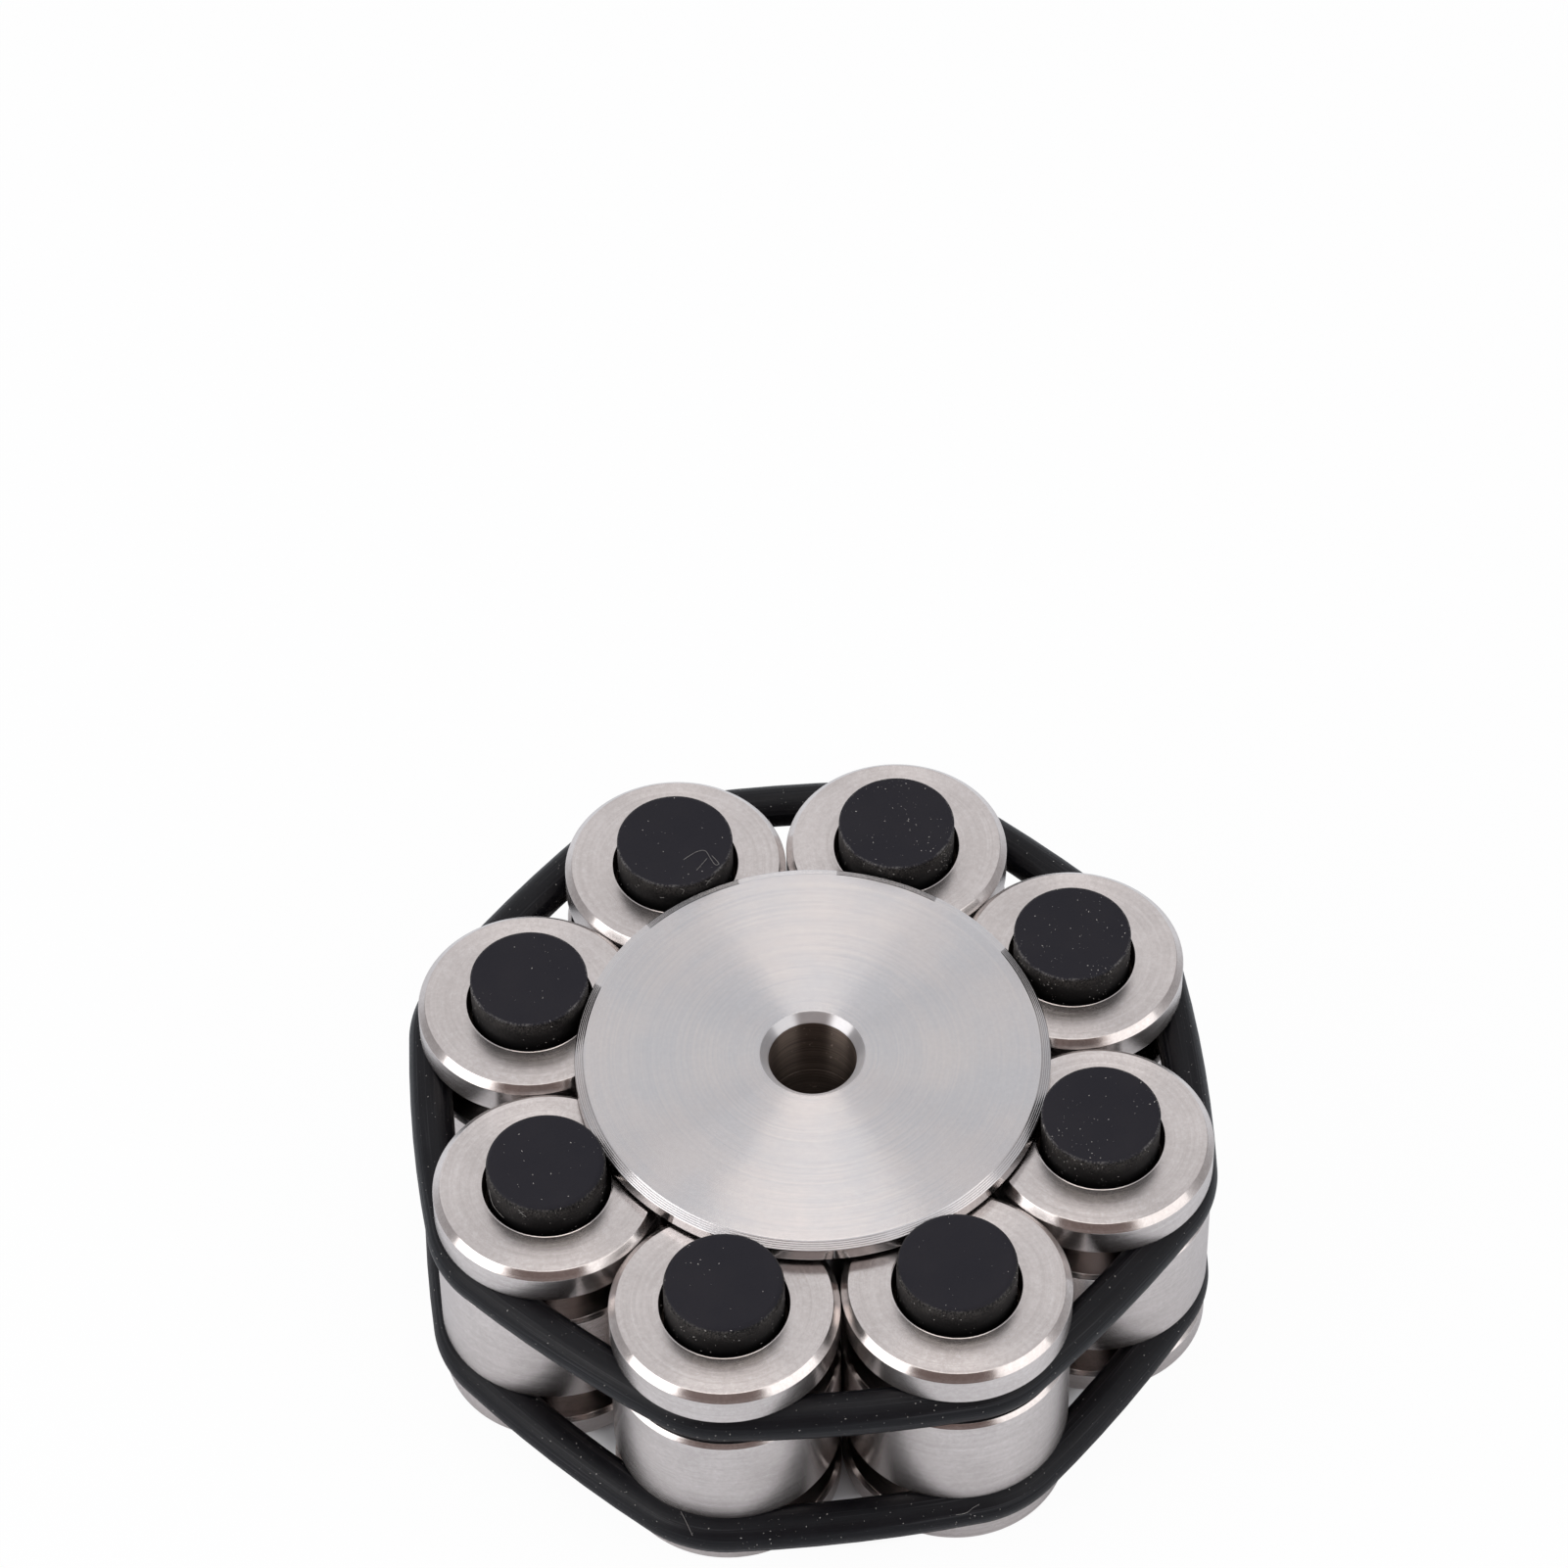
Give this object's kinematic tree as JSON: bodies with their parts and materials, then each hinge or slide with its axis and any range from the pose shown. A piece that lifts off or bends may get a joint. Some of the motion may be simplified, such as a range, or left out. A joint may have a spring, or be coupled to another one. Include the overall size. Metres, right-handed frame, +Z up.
{
  "type": "record weight",
  "caption": "Record weight for a turntable spindle: a turned steel hub ringed by steel cylinders with rubber plugs on top, bound together by rubber rings in grooves.",
  "frame": {"origin": "on the axis of the spindle bore, in the plane of the flat underside that rests on the record", "axes": "+Z up along the spindle axis, from the underside to the disc and plugs; +X and +Y lie in the rest plane, each between two neighbouring weights, and the side that the picture shows faces -Y"},
  "size_m": [0.0672, 0.0687, 0.0271],
  "materials": {
    "hub_steel": "turned face with fine concentric lathe marks",
    "weight_steel": "fine turned, satin sides and concentric marks on the end faces",
    "plug_rubber": "matte black rubber with a little dust",
    "ring_rubber": "satin black rubber cord"
  },
  "bodies": {
    "root": {"hub": "hub_steel", "weight_1": "weight_steel", "weight_2": "weight_steel", "weight_3": "weight_steel", "weight_4": "weight_steel", "weight_5": "weight_steel", "weight_6": "weight_steel", "weight_7": "weight_steel", "weight_8": "weight_steel", "plug_1": "plug_rubber", "plug_2": "plug_rubber", "plug_3": "plug_rubber", "plug_4": "plug_rubber", "plug_5": "plug_rubber", "plug_6": "plug_rubber", "plug_7": "plug_rubber", "plug_8": "plug_rubber", "upper_ring": "ring_rubber", "lower_ring": "ring_rubber"}
  },
  "joints": []
}
